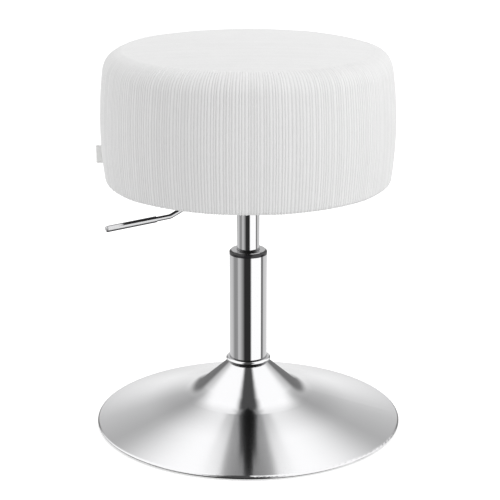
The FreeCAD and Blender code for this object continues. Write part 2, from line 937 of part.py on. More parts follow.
def make_seat_bolts():
    bolts = new_body("seat_bolts", d.lever_bearing)
    place = (d.bolt_offset, d.bolt_offset, washer_bottom - d.bolt_head)
    head_outline = new_sketch(bolts, "seat_bolt_head_outline", "XY_Plane", place)
    draw_outline(head_outline, hexagon(d.bolt_flats))
    head = pad(bolts, "seat_bolt_head", head_outline, d.bolt_head)
    shank_place = (d.bolt_offset, d.bolt_offset, washer_bottom)
    shank_outline = new_sketch(bolts, "seat_bolt_shank_outline", "XY_Plane", shank_place)
    draw_circle(shank_outline, 0, 0, d.bolt_radius)
    shank = pad(bolts, "seat_bolt_shank", shank_outline, board_top - d.bolt_end_gap - washer_bottom)
    doc.recompute()
    repeat(bolts, "seat_bolt_ring", [head, shank], 4)


def make_bolt_washers():
    inner = d.bolt_radius + d.seat_gap
    bolt_pieces("bolt_washers", [
        (inner, washer_bottom),
        (d.washer_radius, washer_bottom),
        (d.washer_radius, seat_plate_bottom),
        (inner, seat_plate_bottom),
    ])


def make_tee_nuts():
    inner = d.bolt_radius + d.seat_gap
    barrel_bottom = tee_flange_bottom - d.tee_barrel
    flange_top = tee_flange_bottom + d.tee_flange_wall
    bolt_pieces("tee_nuts", [
        (inner, barrel_bottom),
        (d.tee_barrel_radius, barrel_bottom),
        (d.tee_barrel_radius, tee_flange_bottom),
        (d.tee_flange_radius, tee_flange_bottom),
        (d.tee_flange_radius, flange_top),
        (inner, flange_top),
    ])


# Lever, its pivot and its grip

slope_sine = sine(d.lever_slope)
slope_cosine = cosine(d.lever_slope)
handle_sine = sine(d.handle_slope)
handle_cosine = cosine(d.handle_slope)
elbow_height = lever_height - d.lever_drop
inner_elbow_reach = d.pivot_reach + d.lever_pivot_run
outer_elbow_reach = inner_elbow_reach + d.lever_drop / tangent(d.lever_slope)


def on_handle(along, off=0):
    """A point beside the handle's centre line, counted from the outer elbow."""
    reach = outer_elbow_reach + along * handle_cosine + off * handle_sine
    height = elbow_height - along * handle_sine + off * handle_cosine
    return reach, height


def beside(reach, height, along):
    """A point that lies this far along the lever's slope from an elbow."""
    return reach + along * slope_cosine, height - along * slope_sine


def make_lever_rod():
    lever = new_body("lever_rod", d.lever_bearing)
    path = new_sketch(lever, "lever_rod_path", "XZ_Plane")
    inner_setback = d.lever_bend * tangent(d.lever_slope / 2)
    outer_setback = d.lever_bend * tangent((d.lever_slope - d.handle_slope) / 2)
    slope_start = beside(inner_elbow_reach, lever_height, inner_setback)
    slope_end = beside(outer_elbow_reach, elbow_height, -outer_setback)
    tip = d.handle_length - d.grip_end - d.seat_gap
    draw_outline(path, [
        (-d.lever_overlap, lever_height),
        (inner_elbow_reach - inner_setback, lever_height, -d.lever_bend),
        slope_start,
        (*slope_end, d.lever_bend),
        on_handle(outer_setback),
        on_handle(tip),
    ], closed=False)
    section = new_sketch(lever, "lever_rod_section", "YZ_Plane", (0, 0, -d.lever_overlap))
    draw_circle(section, 0, lever_height, d.lever_radius)
    pipe = lever.newObject("PartDesign::AdditivePipe", "lever_rod_pipe")
    pipe.Profile = section
    pipe.Spine = (path, [])
    lever.Tip = pipe


def make_lever_sleeve():
    sleeve = new_body("lever_sleeve", d.lever_bearing)
    sketch = new_sketch(sleeve, "lever_sleeve_profile", "XZ_Plane")
    bore = d.lever_radius + d.seat_gap
    start = d.handle_length - d.grip_length
    bore_end = d.handle_length - d.grip_end
    draw_outline(sketch, [
        on_handle(start, bore),
        on_handle(start, d.grip_radius),
        (*on_handle(bore_end, d.grip_radius), -d.grip_end),
        on_handle(d.handle_length, d.grip_radius - d.grip_end),
        on_handle(d.handle_length),
        on_handle(bore_end),
        on_handle(bore_end, bore),
    ])
    places = [on_handle(start), on_handle(bore_end)]
    line = Part.LineSegment(*[FreeCAD.Vector(reach.value, height.value, 0) for reach, height in places])
    axis = sketch.addGeometry(line, True)
    for end, (reach, height) in enumerate(places, start=1):
        hold(sketch, "DistanceX", axis, end, reach)
        hold(sketch, "DistanceY", axis, end, height)
    turn(sleeve, "lever_sleeve_turn", sketch, axis="Axis0")


def pivot_part(label, corners):
    """A piece turned about the pivot's axis: each corner is a place along it and a radius."""
    body = new_body(label, d.lever_bearing)
    sketch = new_sketch(body, f"{label}_profile", "YZ_Plane", (0, pivot_height, d.pivot_reach))
    draw_outline(sketch, corners)
    turn(body, f"{label}_turn", sketch, axis="H_Axis")


pivot_clip_start = channel_outside + d.seat_gap
pivot_clip_end = pivot_clip_start + d.pivot_clip_wall


def make_lever_pivot_pin():
    head_start = -(channel_outside + d.seat_gap)
    head_end = head_start - d.pivot_head
    end = pivot_clip_end + d.pivot_pin_tail
    pivot_part("lever_pivot_pin", [
        (head_end, 0),
        (end, 0),
        (end, d.pivot_pin_radius),
        (head_start, d.pivot_pin_radius),
        (head_start, d.pivot_head_radius),
        (head_end, d.pivot_head_radius),
    ])


def make_pivot_clip():
    inner = d.pivot_pin_radius + d.seat_gap
    outer = inner + d.pivot_clip_width
    pivot_part("pivot_clip", [
        (pivot_clip_start, inner),
        (pivot_clip_end, inner),
        (pivot_clip_end, outer),
        (pivot_clip_start, outer),
    ])


def make_lever_pivot_tube():
    half = channel_inside - d.lever_play
    pivot_part("lever_pivot_tube", [
        (-half, pivot_tube_bore),
        (half, pivot_tube_bore),
        (half, pivot_tube_radius),
        (-half, pivot_tube_radius),
    ])


# Seat board and upholstery. The side is one long arc, the edge a tighter one and the
# crown the arc that leaves the edge without a kink and is level over the axis.

side_centre = d.seat_radius - d.side_arc
side_belly_height = d.seat_bottom + d.side_belly_rise
top_cosine = cosine(d.side_top_angle)
top_sine = sine(d.side_top_angle)
crown_cosine = cosine(d.crown_angle)
crown_sine = sine(d.crown_angle)
edge_reach = side_centre + (d.side_arc - d.edge_round) * top_cosine
edge_height = side_belly_height + (d.side_arc - d.edge_round) * top_sine
crown_centre_drop = edge_reach / crown_cosine
under_sine = (d.side_belly_rise - d.under_round) / (d.side_arc - d.under_round)
under_cosine = root(1 - under_sine * under_sine)
under_reach = side_centre + (d.side_arc - d.under_round) * under_cosine
board_radius = under_reach - d.board_inset
cover_flap_radius = under_reach - d.cover_flap


def side_top(inset):
    radius = d.side_arc - inset
    return side_centre + radius * top_cosine, side_belly_height + radius * top_sine


def side_foot(inset):
    radius = d.side_arc - inset
    return side_centre + radius * under_cosine, side_belly_height - radius * under_sine


def crown_start(inset):
    radius = d.edge_round - inset
    return edge_reach + radius * crown_cosine, edge_height + radius * crown_sine


def crown_radius(inset):
    return crown_centre_drop + d.edge_round - inset


def crown_height(reach, inset):
    radius = crown_radius(inset)
    return edge_height - crown_centre_drop * crown_sine + root(radius * radius - reach * reach)


def crown_top(inset):
    return edge_height - crown_centre_drop * crown_sine + crown_radius(inset)


def make_cover_band():
    wall = d.cover_wall
    turned_part("cover_band", [
        (cover_flap_radius, d.seat_bottom),
        (under_reach, d.seat_bottom, d.under_round),
        (*side_foot(0), d.side_arc),
        (*side_top(0), d.edge_round),
        crown_start(0),
        (*crown_start(wall), -(d.edge_round - wall)),
        (*side_top(wall), -(d.side_arc - wall)),
        (*side_foot(wall), -(d.under_round - wall)),
        (under_reach, d.seat_bottom + wall),
        (cover_flap_radius, d.seat_bottom + wall),
    ])


def make_cover_top():
    """The top panel starts a seam's width in from the band, on the crown."""
    wall = d.cover_wall
    reach = crown_start(wall)[0] - d.seam_gap
    turned_part("cover_top", [
        (0, crown_top(wall), -crown_radius(wall)),
        (reach, crown_height(reach, wall)),
        (reach, crown_height(reach, 0), crown_radius(0)),
        (0, crown_top(0)),
    ])


def make_seat_foam():
    inset = d.cover_wall + d.foam_gap
    skirt_bottom = board_top - d.foam_skirt
    drop = side_belly_height - skirt_bottom
    radius = d.side_arc - inset
    skirt_reach = side_centre + root(radius * radius - drop * drop)
    bore = board_radius + d.foam_gap
    turned_part("seat_foam", [
        (0, board_top),
        (bore, board_top),
        (bore, skirt_bottom),
        (skirt_reach, skirt_bottom, radius),
        (*side_top(inset), d.edge_round - inset),
        (*crown_start(inset), crown_radius(inset)),
        (0, crown_top(inset)),
    ])


def make_seat_board():
    board = new_body("seat_board", d.lever_bearing)
    outline = new_sketch(board, "seat_board_outline", "XY_Plane", (0, 0, board_bottom))
    draw_circle(outline, 0, 0, board_radius)
    pad(board, "seat_board_pad", outline, d.board_wall)
    bolt_holes(board, "seat_board_hole", d.tee_barrel_radius + d.seat_gap)
    bolt_holes(board, "seat_board_seat", d.tee_flange_radius + d.seat_gap, tee_flange_bottom)


def make_dust_cover():
    step_outer = cover_flap_radius - d.dust_step
    step_inner = step_outer - d.dust_wall
    outer = under_reach - d.dust_inset
    cover = turned_part("dust_cover", [
        (0, seat_plate_top),
        (step_inner, seat_plate_top),
        (step_inner, d.seat_bottom - d.dust_wall),
        (outer, d.seat_bottom - d.dust_wall),
        (outer, d.seat_bottom),
        (step_outer, d.seat_bottom),
        (step_outer, board_bottom),
        (0, board_bottom),
    ], d.lever_bearing)
    bolt_holes(cover, "dust_cover_hole", d.bolt_radius + d.seat_gap)


def make_cover_staples():
    staples = new_body("cover_staples")
    reach = under_reach - d.staple_inset
    wire = d.staple_wire
    half = d.staple_crown / 2
    crown_upper = d.seat_bottom - d.dust_wall
    crown_lower = crown_upper - wire
    leg_end = crown_upper + d.staple_leg
    outline = new_sketch(staples, "cover_staple_outline", "YZ_Plane", (0, 0, reach - wire / 2))
    draw_outline(outline, [
        (-half, crown_lower),
        (half, crown_lower),
        (half, leg_end),
        (half - wire, leg_end),
        (half - wire, crown_upper),
        (wire - half, crown_upper),
        (wire - half, leg_end),
        (-half, leg_end),
    ])
    staple = pad(staples, "cover_staple", outline, wire)
    doc.recompute()
    repeat(staples, "cover_staple_ring", [staple], d.staple_count)


def make_side_tag():
    """A folded loop of tape, its inner edge on the curve of the seat's side."""
    tag = new_body("side_tag", d.tag_bearing)
    bottom = d.seat_bottom + d.tag_lift
    top = bottom + d.tag_rise
    radius = d.side_arc + d.seat_gap
    drops = [height - side_belly_height for height in (bottom, top)]
    edges = [side_centre + root(radius * radius - drop * drop) for drop in drops]
    outer = d.seat_radius + d.tag_reach
    outline = new_sketch(tag, "side_tag_outline", "XZ_Plane", (0, 0, -d.tag_wall / 2))
    draw_outline(outline, [
        (outer, bottom),
        (outer, top),
        (edges[1], top, -radius),
        (edges[0], bottom),
    ])
    pad(tag, "side_tag_pad", outline, d.tag_wall)


# Every sub-part, from the floor up

make_floor_ring()
make_base_shell()
make_base_plate()
make_base_hub()
make_base_weight()
make_weight_screws()
make_column_tube()
make_tube_end_plate()
make_column_bush()
make_column_collar()
make_collar_cap()
make_trim_ring()
make_bearing_races()
make_bearing_balls()
make_bearing_cage()
make_piston_rod()
make_rod_clip()
make_rod_washer()
make_bump_stop()
make_piston()
make_seal("piston_seal", piston_seal_reach, piston_seal_height, d.piston_seal_section)
make_piston_nut()
make_lift_cylinder()
make_rod_guide_and_seal()
make_inner_tube()
make_valve_body()
make_seal("valve_seal", valve_seal_reach, valve_seal_height, d.valve_seal_section)
make_release_pin()
make_plate_hub()
make_lift_channel()
make_seat_plate()
make_seat_bolts()
make_bolt_washers()
make_tee_nuts()
make_lever_rod()
make_lever_sleeve()
make_lever_pivot_pin()
make_pivot_clip()
make_lever_pivot_tube()
make_seat_board()
make_seat_foam()
make_cover_band()
make_cover_top()
make_dust_cover()
make_cover_staples()
make_side_tag()

doc.recompute()
for feature in doc.Objects:
    if "Invalid" in feature.State or "Error" in feature.State:
        raise RuntimeError(f"{feature.Label} failed: {feature.State}")
for part in sub_parts:
    if part.Shape.isNull() or not part.Shape.isValid():
        raise RuntimeError(f"{part.Label} has no valid shape")

os.makedirs("parts", exist_ok=True)
for part in sub_parts:
    part.Shape.exportStep(f"parts/{part.Label}.step")
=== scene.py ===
import json
import math

import bpy
import numpy as np
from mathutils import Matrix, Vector

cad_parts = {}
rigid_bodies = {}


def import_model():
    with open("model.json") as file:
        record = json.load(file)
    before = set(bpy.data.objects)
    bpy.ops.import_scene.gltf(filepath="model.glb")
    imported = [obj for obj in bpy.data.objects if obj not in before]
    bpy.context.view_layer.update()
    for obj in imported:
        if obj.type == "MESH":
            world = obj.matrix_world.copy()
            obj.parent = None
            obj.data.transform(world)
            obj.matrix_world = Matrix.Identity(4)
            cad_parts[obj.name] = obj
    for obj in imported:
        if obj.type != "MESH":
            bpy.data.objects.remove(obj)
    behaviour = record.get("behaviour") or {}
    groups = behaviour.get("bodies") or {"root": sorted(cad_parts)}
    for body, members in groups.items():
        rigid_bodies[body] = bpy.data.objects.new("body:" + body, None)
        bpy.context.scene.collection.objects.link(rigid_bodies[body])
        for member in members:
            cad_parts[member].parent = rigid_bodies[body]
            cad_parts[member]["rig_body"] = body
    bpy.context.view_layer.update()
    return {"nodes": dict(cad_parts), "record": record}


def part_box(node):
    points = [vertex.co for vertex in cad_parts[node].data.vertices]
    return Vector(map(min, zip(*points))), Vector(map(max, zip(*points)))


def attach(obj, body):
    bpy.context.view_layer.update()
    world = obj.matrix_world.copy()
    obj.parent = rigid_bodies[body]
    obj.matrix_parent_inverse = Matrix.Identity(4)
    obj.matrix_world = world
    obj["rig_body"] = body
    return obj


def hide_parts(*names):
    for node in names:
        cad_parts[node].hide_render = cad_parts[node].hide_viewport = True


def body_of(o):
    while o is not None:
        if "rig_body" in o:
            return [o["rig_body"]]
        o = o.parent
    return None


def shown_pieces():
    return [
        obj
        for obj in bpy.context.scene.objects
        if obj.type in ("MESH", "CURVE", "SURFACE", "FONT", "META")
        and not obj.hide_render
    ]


# Vanity stool: the finish of every surface, the ribbed seat cover and a small studio.
# Metres and degrees, +Z up, floor at z = 0, the camera on the -Y side.

RANDOM_SEED = 7

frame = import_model()
scene = bpy.context.scene
random = np.random.default_rng(RANDOM_SEED)

# Camera, from the photograph's frame
FRAME_PIXELS = 500
FOCAL_PIXELS = 1627.3
CAMERA_PLACE = (0.0022, -1.94175, 0.81141)
CAMERA_PITCH = 16.799
SENSOR_WIDTH = 36.0

# Seat cover: radii of its arcs, and angles of the outward normal where they meet
SIDE_ARC = 0.506
SIDE_BELLY_RISE = 0.070
SIDE_TOP_ANGLE = 7.6
EDGE_ROUND = 0.028
CROWN_ANGLE = 85.1
UNDER_ROUND = 0.0065
UNDER_ANGLE = -90.0
COVER_FLAP = 0.0195

# Points along each stretch of the side cover's outline
FLAP_STEPS = 4
UNDER_STEPS = 12
SIDE_STEPS = 26
EDGE_STEPS = 24
CROWN_POINTS = 4

# Corduroy; the painted shade in the grooves fades over the shoulder, between two angles of the normal
RIB_PITCH = 0.00375
RIB_HEIGHT = 0.0006
RIB_STEPS = 10
RIB_ROUNDNESS = 2.2
RIB_UNEVEN = 0.3
SHOULDER_FADE = 0.7
SHOULDER_ANGLES = (15, 60)
TOP_RIB_SHARE = 0.7
TOP_RIB_UNEVEN = 0.1
TOP_COLUMNS = 61

# Stuffing: the cover starts this far inside its outline, unevenly, and is blown out against its seams
SLACK = 0.002
SLACK_UNEVEN = 0.0025
SLACK_SMOOTHING = 3
STUFFING_PRESSURE = 4.0
SWELL_FRAMES = 20
SWELL_LIMIT = 0.002
SWELL_COLUMNS = 96
SWELL_ROW_STEP = 3
SWELL_CROWN_POINTS = 12
SWELL_START_REACH = 0.012
SWELL_FULL_REACH = 0.06

# Seams
SEAM_WIDTH = 0.0014
SEAM_DEPTH = 0.0002
SEAM_TUCK = 0.002
SEAM_PRESS = 0.005

# Lining under the seat
LINING_WALL = 0.0005
LINING_STAPLES = 24
STAPLE_STEPS = 10
LINING_PUCKER = 0.0008
LINING_CENTRE = 0.004
LINING_STEP_RUN = 0.002
LINING_FLAT_ROWS = 12
LINING_RIM_ROWS = 10

# Tape of the tag
TAPE_WALL = 0.0004
TAPE_CURL = 0.0006
TAPE_LEAF_STEPS = 6
TAPE_FOLD_POINTS = 9
TAPE_ROWS = 12

# Satin plating of the base: radii over which a painted shade, a darker ring in its colour at the foot of the
# flare, comes and goes
PAINTED_SHADE_INSIDE = (0.066, 0.080)
PAINTED_SHADE_OUTSIDE = (0.135, 0.090)
PAINTED_SHADE_SHARE = 0.86

# Most of what a noise texture gives lies in this range
NOISE_LOW = 0.3
NOISE_HIGH = 0.7

WHITE = (1.0, 1.0, 1.0, 1.0)


# Mesh helpers

def new_object(name, points, faces):
    mesh = bpy.data.meshes.new(name)
    mesh.from_pydata(points, [], faces)
    mesh.shade_smooth()
    made = bpy.data.objects.new(name, mesh)
    scene.collection.objects.link(made)
    return made


def grid_faces(rows, columns, closed):
    """Quads between rows of points; a closed grid joins its last column to its first."""
    faces = []
    for row in range(rows - 1):
        for column in range(columns if closed else columns - 1):
            following = (column + 1) % columns
            low = row * columns
            high = low + columns
            faces.append((low + column, low + following, high + following, high + column))
    return faces


def keep_values(made, name, values):
    attribute = made.data.attributes.new(name, "FLOAT", "POINT")
    attribute.data.foreach_set("value", np.asarray(values, dtype=np.float32).ravel())


def full_turn(steps):
    return np.linspace(0, 2 * math.pi, steps, endpoint=False)


def soft_step(value, start, end):
    share = np.clip((value - start) / (end - start), 0, 1)
    return share * share * (3 - 2 * share)


# Node helpers

def new_material(name):
    material = bpy.data.materials.new(name)
    material.use_nodes = True
    tree = material.node_tree
    shader = next(node for node in tree.nodes if node.type == "BSDF_PRINCIPLED")
    return material, tree, shader


def bare_tree(owner, output_kind):
    """The emptied node tree of a material or world, and its new output's surface."""
    owner.use_nodes = True
    tree = owner.node_tree
    tree.nodes.clear()
    return tree, add_node(tree, output_kind).inputs["Surface"]


def feed(tree, socket, value):
    """Join another node's output to a socket, or set the socket to a plain value."""
    if isinstance(value, bpy.types.NodeSocket):
        tree.links.new(value, socket)
    else:
        socket.default_value = value


def add_node(tree, kind, **values):
    """A new node, with each value fed to the input of that name or set as the property of that name."""
    node = tree.nodes.new(kind)
    for name, value in values.items():
        if name in node.inputs:
            feed(tree, node.inputs[name], value)
        else:
            setattr(node, name, value)
    return node


def object_point(tree, stretch=(1, 1, 1)):
    place = add_node(tree, "ShaderNodeTexCoord")
    mapping = add_node(tree, "ShaderNodeMapping", Vector=place.outputs["Object"], Scale=stretch)
    return mapping.outputs["Vector"]


def noise(tree, point, scale, detail=2.0):
    texture = add_node(tree, "ShaderNodeTexNoise", Vector=point, Scale=scale, Detail=detail)
    return texture.outputs["Fac"]


def maths(tree, operation, *values):
    node = add_node(tree, "ShaderNodeMath", operation=operation)
    for socket, value in zip(node.inputs, values):
        feed(tree, socket, value)
    return node.outputs["Value"]


def map_range(tree, value, start, end, low=0.0, high=1.0, interpolation="LINEAR"):
    """Map a value between start and end onto the range from low to high."""
    limits = {"From Min": start, "From Max": end, "To Min": low, "To Max": high}
    node = add_node(tree, "ShaderNodeMapRange", interpolation_type=interpolation, Value=value, **limits)
    return node.outputs["Result"]


def spread(tree, value, low, high):
    """Map a noise value onto the range from low to high."""
    return map_range(tree, value, NOISE_LOW, NOISE_HIGH, low, high)


def blend_colours(tree, share, first, second):
    node = add_node(tree, "ShaderNodeMix", data_type="RGBA", Factor=share)
    colour_inputs = [socket for socket in node.inputs if socket.type == "RGBA"]
    colour_inputs[0].default_value = (*first, 1.0)
    colour_inputs[1].default_value = (*second, 1.0)
    return next(socket for socket in node.outputs if socket.type == "RGBA")


def tint(tree, shader, share, first, second):
    feed(tree, shader.inputs["Base Color"], blend_colours(tree, share, first, second))


def uneven_gloss(tree, shader, value, roughness, unevenness):
    """Vary the roughness with a noise value, by a share of itself either way."""
    smoother = (1 - unevenness) * roughness
    rougher = min(1.0, (1 + unevenness) * roughness)
    feed(tree, shader.inputs["Roughness"], spread(tree, value, smoother, rougher))


def bump(tree, shader, height, depth, strength):
    node = add_node(tree, "ShaderNodeBump", Height=height, Distance=depth, Strength=strength)
    feed(tree, shader.inputs["Normal"], node.outputs["Normal"])


def shaded(colour, share, lift=0.0):
    return tuple(min(1.0, share * part + lift) for part in colour)


# Materials

def corduroy(name, shaded_groove, ridge):
    """Corduroy of cut fibres: pale ridges, grooves darkened as painted shade, and short fibres all over."""
    material, tree, shader = new_material(name)
    point = object_point(tree)
    groove_shade = add_node(tree, "ShaderNodeAttribute", attribute_name="groove_shade")
    fibre = noise(tree, point, scale=900.0, detail=3.0)
    patch = noise(tree, point, scale=28.0)
    # Painted shade: low places between the ribs take the darker groove colour; fibre and patch noise add a
    # random tone.
    fibrous = maths(tree, "ADD", groove_shade.outputs["Fac"], spread(tree, fibre, low=-0.12, high=0.12))
    patchy = maths(tree, "ADD", fibrous, spread(tree, patch, low=-0.05, high=0.05))
    tint(tree, shader, patchy, shaded_groove, ridge)
    shader.inputs["Roughness"].default_value = 0.92
    shader.inputs["Specular IOR Level"].default_value = 0.2
    shader.inputs["Sheen Weight"].default_value = 0.25
    shader.inputs["Sheen Roughness"].default_value = 0.5
    bump(tree, shader, fibre, depth=0.00025, strength=0.6)
    return material


def polished_metal(name, colour, roughness):
    """Bright plating with a faint unevenness of tone and gloss."""
    material, tree, shader = new_material(name)
    point = object_point(tree)
    tint(tree, shader, noise(tree, point, scale=14.0), shaded(colour, share=0.97), colour)
    uneven_gloss(tree, shader, noise(tree, point, scale=40.0, detail=4.0), roughness, unevenness=0.2)
    shader.inputs["Metallic"].default_value = 1.0
    return material


def spun_metal(name, colour, roughness):
    """Satin plating with fine turning lines round the axis, and a painted shade: a darker ring in its colour
    at the foot of the flare, standing in for a darker reflection.
    """
    material, tree, shader = new_material(name)
    from_axis = add_node(tree, "ShaderNodeVectorMath", operation="LENGTH")
    feed(tree, from_axis.inputs[0], object_point(tree, (1, 1, 0)))
    radius = from_axis.outputs["Value"]
    texture = add_node(tree, "ShaderNodeTexNoise", noise_dimensions="1D", W=radius, Scale=1400.0, Detail=4.0)
    line = texture.outputs["Fac"]
    # Painted shade: the colour is darkened in a ring at the foot of the flare, by radius.
    inside = map_range(tree, radius, *PAINTED_SHADE_INSIDE, interpolation="SMOOTHSTEP")
    outside = map_range(tree, radius, *PAINTED_SHADE_OUTSIDE, interpolation="SMOOTHSTEP")
    tint(tree, shader, maths(tree, "MULTIPLY", inside, outside), colour, shaded(colour, PAINTED_SHADE_SHARE))
    uneven_gloss(tree, shader, line, roughness, unevenness=0.15)
    bump(tree, shader, line, depth=0.00002, strength=0.1)
    around = add_node(tree, "ShaderNodeTangent", direction_type="RADIAL", axis="Z")
    feed(tree, shader.inputs["Tangent"], around.outputs["Tangent"])
    shader.inputs["Anisotropic"].default_value = 0.9
    shader.inputs["Anisotropic Rotation"].default_value = 0.25
    shader.inputs["Metallic"].default_value = 1.0
    return material


def moulded(name, colour, roughness, grain=600.0):
    """Plastic, rubber, foam or paint: one colour with a fine grain."""
    material, tree, shader = new_material(name)
    point = object_point(tree)
    fleck = noise(tree, point, scale=grain, detail=3.0)
    tint(tree, shader, noise(tree, point, scale=25.0), colour, shaded(colour, share=1.15, lift=0.004))
    uneven_gloss(tree, shader, fleck, roughness, unevenness=0.1)
    bump(tree, shader, fleck, depth=0.00006, strength=0.4)
    return material


def plywood(name, light, dark, ply_share=0.4):
    """Long grain along X, and plies one above the other."""
    material, tree, shader = new_material(name)
    grain = noise(tree, object_point(tree, (6, 60, 60)), scale=4.0, detail=6.0)
    plies = noise(tree, object_point(tree, (0, 0, 1)), scale=450.0, detail=0.0)
    tint(tree, shader, maths(tree, "MULTIPLY_ADD", plies, ply_share, grain), light, dark)
    shader.inputs["Roughness"].default_value = 0.75
    bump(tree, shader, grain, depth=0.0001, strength=0.3)
    return material


def woven(name, colour, scale):
    """Cloth with crossed threads, for tape and for the dust cloth."""
    material, tree, shader = new_material(name)
    point = object_point(tree)
    threads = []
    for direction in ("X", "Y"):
        wave = add_node(tree, "ShaderNodeTexWave", bands_direction=direction, Vector=point, Scale=scale)
        wave.inputs["Distortion"].default_value = 1.5
        threads.append(wave.outputs["Fac"])
    crossed = maths(tree, "MULTIPLY", *threads)
    tint(tree, shader, crossed, shaded(colour, share=0.9), colour)
    shader.inputs["Roughness"].default_value = 0.95
    shader.inputs["Sheen Weight"].default_value = 0.1
    bump(tree, shader, crossed, depth=0.0002, strength=0.6)
    return material


MATERIALS = {
    "satin_chrome": spun_metal("satin_chrome", (0.80, 0.80, 0.81), 0.12),
    "polished_chrome": polished_metal("polished_chrome", (0.84, 0.84, 0.85), 0.06),
    "collar_plastic": moulded("collar_plastic", (0.02, 0.02, 0.022), 0.12),
    "floor_rubber": moulded("floor_rubber", (0.03, 0.03, 0.03), 0.8),
    "black_steel": moulded("black_steel", (0.04, 0.04, 0.043), 0.45),
    "weight_iron": moulded("weight_iron", (0.12, 0.12, 0.125), 0.7, grain=200.0),
    "zinc_steel": polished_metal("zinc_steel", (0.62, 0.63, 0.65), 0.3),
    "bush_nylon": moulded("bush_nylon", (0.75, 0.74, 0.70), 0.5),
    "board_plywood": plywood("board_plywood", (0.70, 0.52, 0.33), (0.45, 0.30, 0.17)),
    "seat_foam": moulded("seat_foam", (0.93, 0.90, 0.78), 0.95, grain=400.0),
    # Painted shade: the first, darker grey is laid in the grooves between the ribs.
    "seat_corduroy": corduroy("seat_corduroy", (0.73, 0.73, 0.73), (0.885, 0.885, 0.885)),
    "dust_cloth": woven("dust_cloth", (0.05, 0.05, 0.05), 500.0),
    "tag_tape": woven("tag_tape", (1.0, 1.0, 0.99), 900.0),
}


def finish_nodes():
    """Every node in its slot's material, with a rougher chrome on the lever and on the collar's bright ring,
    darker as painted shade.
    """
    for part in frame["record"]["subparts"]:
        node = frame["nodes"][part["node"]]
        node.data.materials.clear()
        node.data.materials.append(MATERIALS[part["material_slot"]])
    # Painted shade: a darker, rougher copy of the polished chrome for the lever and the collar's cap.
    shaded_chrome = polished_metal("shaded_chrome", (0.62, 0.62, 0.63), 0.14)
    for name in ("lever_rod", "lever_sleeve", "collar_cap"):
        frame["nodes"][name].data.materials[0] = shaded_chrome


# Seat cover

band_low, band_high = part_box("cover_band")
seat_radius = band_high.x
seat_bottom = band_low.z
seam_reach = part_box("cover_top")[1].x
side_place = (seat_radius - SIDE_ARC, seat_bottom + SIDE_BELLY_RISE)
side_low_angle = -math.degrees(math.asin((SIDE_BELLY_RISE - UNDER_ROUND) / (SIDE_ARC - UNDER_ROUND)))


def on_arc(centre, radius, angle):
    turn = math.radians(angle)
    return centre[0] + radius * math.cos(turn), centre[1] + radius * math.sin(turn)


under_place = on_arc(side_place, SIDE_ARC - UNDER_ROUND, side_low_angle)
edge_place = on_arc(side_place, SIDE_ARC - EDGE_ROUND, SIDE_TOP_ANGLE)
crown_reach, crown_start_height = on_arc(edge_place, EDGE_ROUND, CROWN_ANGLE)
crown_radius = crown_reach / math.cos(math.radians(CROWN_ANGLE))
crown_centre = crown_start_height - math.sqrt(crown_radius ** 2 - crown_reach ** 2)
flap_reach = under_place[0] - COVER_FLAP


def arc_run(centre, radius, start, end, steps):
    """Points of the seat's outline with their normal angles, the last one left to the next run."""
    angles = [start + (end - start) * step / steps for step in range(steps)]
    return [(*on_arc(centre, radius, angle), angle) for angle in angles]


def crown_height(reach):
    return crown_centre + np.sqrt(crown_radius ** 2 - reach ** 2)


def crown_run(start, end, points):
    """Points over the crown with their normal angles, from one reach to another."""
    reaches = np.linspace(start, end, points)
    angles = np.degrees(np.arccos(reaches / crown_radius))
    return list(zip(reaches, crown_height(reaches), angles))


def band_outline():
    """Flap, under edge, side and upper edge, from the staples up to the seam and tucked into it."""
    flap = [flap_reach + COVER_FLAP * step / FLAP_STEPS for step in range(FLAP_STEPS)]
    points = [(reach, seat_bottom, UNDER_ANGLE) for reach in flap]
    points += arc_run(under_place, UNDER_ROUND, UNDER_ANGLE, side_low_angle, UNDER_STEPS)
    points += arc_run(side_place, SIDE_ARC, side_low_angle, SIDE_TOP_ANGLE, SIDE_STEPS)
    points += arc_run(edge_place, EDGE_ROUND, SIDE_TOP_ANGLE, CROWN_ANGLE, EDGE_STEPS)
    points += crown_run(crown_reach, seam_reach, CROWN_POINTS)
    reach, height, angle = points[-1]
    points.append((reach, height - SEAM_TUCK, angle))
    return np.array(points)


def along(outline):
    """Length along an outline up to each of its points."""
    return np.concatenate(([0.0], np.cumsum(np.hypot(*np.diff(outline[:, :2], axis=0).T))))


def turned(outline, offset, turn):
    """Points of an outline turned about the axis, each moved off along its normal."""
    normal = np.radians(outline[:, 2])[:, None]
    reach = outline[:, 0, None] + offset * np.cos(normal)
    height = outline[:, 1, None] + offset * np.sin(normal)
    return np.stack([reach * np.cos(turn), reach * np.sin(turn), height + 0 * turn], axis=-1)


def blow_out(points, faces, held):
    """Cloth pressed out from inside and held at its seams; returns where its points come to rest."""
    form = new_object("cushion_form", points, faces)
    pins = form.vertex_groups.new(name="held")
    pins.add(held, 1.0, "REPLACE")
    cloth = form.modifiers.new("cloth", "CLOTH")
    cloth.settings.quality = 6
    cloth.settings.vertex_group_mass = pins.name
    cloth.settings.use_pressure = True
    cloth.settings.uniform_pressure_force = STUFFING_PRESSURE
    cloth.settings.effector_weights.gravity = 0.0
    cloth.collision_settings.use_collision = False
    for step in range(1, SWELL_FRAMES + 1):
        scene.frame_set(step)
    rested = form.evaluated_get(bpy.context.evaluated_depsgraph_get())
    places = np.empty(3 * len(points))
    rested.data.vertices.foreach_get("co", places)
    bpy.data.objects.remove(form)
    scene.frame_set(1)
    return places.reshape(-1, 3)


def uneven(rows, columns):
    """Soft random dents, alike on both sides of the closing column."""
    dents = random.uniform(-1, 1, (rows, columns))
    for _ in range(SLACK_SMOOTHING):
        dents = (np.roll(dents, 1, axis=1) + dents + np.roll(dents, -1, axis=1)) / 3
        dents[1:-1] = (dents[:-2] + dents[1:-1] + dents[2:]) / 3
    return dents


